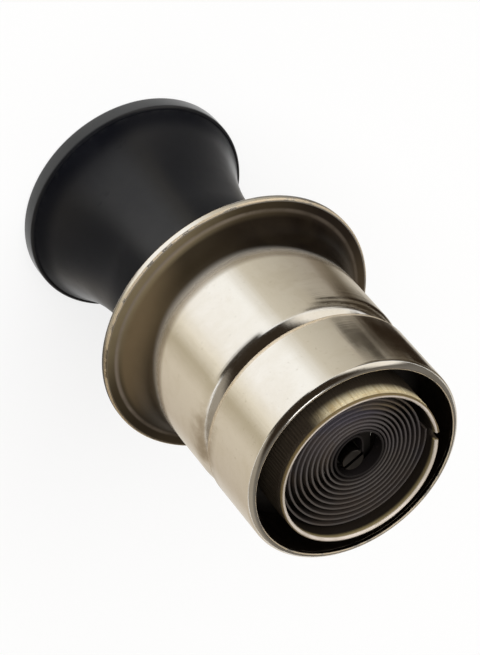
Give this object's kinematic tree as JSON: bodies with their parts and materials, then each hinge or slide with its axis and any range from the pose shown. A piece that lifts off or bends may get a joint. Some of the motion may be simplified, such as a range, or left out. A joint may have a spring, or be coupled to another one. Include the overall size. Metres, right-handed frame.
{
  "type": "dashboard lighter plug",
  "caption": "Pop-out dashboard lighter plug: waisted knob, sprung flanged metal sleeve with a rolled groove, and a spiral heating coil in a cup.",
  "frame": {"origin": "on the plug's axis at the knob's face, which it stands on", "axes": "+Z along the plug's axis from the knob's face to the heating coil; X and Y are free, and the slot in the cup's rim lies 154 degrees from +X"},
  "size_m": [0.027, 0.027, 0.0445],
  "materials": {
    "black_plastic": "satin moulded",
    "nickel": "satin nickel plate",
    "cup_metal": "drawn, lightly plated",
    "heater_alloy": "heat-oxidised",
    "dark_steel": "heat-oxidised",
    "brass": "turned",
    "steel": "zinc plated",
    "spring_steel": "drawn wire",
    "ring_plastic": "moulded",
    "fibre": "vulcanised fibre",
    "mica": "split mica",
    "ceramic": "unglazed"
  },
  "bodies": {
    "plunger": {"knob": "black_plastic", "knob_insert": "brass", "stem": "steel", "spring_seat": "steel", "lock_washer": "spring_steel", "stem_nut": "brass", "guide_ring": "ring_plastic", "return_spring": "spring_steel", "buffer_washer": "fibre", "stop_plate": "steel", "rear_insulator": "mica", "heater_cup": "cup_metal", "ceramic_bush": "ceramic", "clamp_washer": "steel", "clamp_nut": "steel", "coil_stud": "dark_steel", "heater_coil": "heater_alloy"},
    "spring_cap": {"thrust_washer": "steel"},
    "sleeve": {"sleeve": "nickel", "guide_body": "steel", "guide_bush": "brass"}
  },
  "joints": [
    {"name": "push_travel", "type": "slide", "parent": "plunger", "child": "spring_cap", "axis": [0, 0, 1], "range_m": [-0.006, 0], "stiffness_N_per_m": 700, "springref_m": 0.006, "deforming": ["return_spring"]},
    {"name": "sleeve_spin", "type": "hinge", "parent": "spring_cap", "child": "sleeve", "pos_m": [0, 0, 0.0326], "axis": [0, 0, 1], "continuous": true}
  ]
}
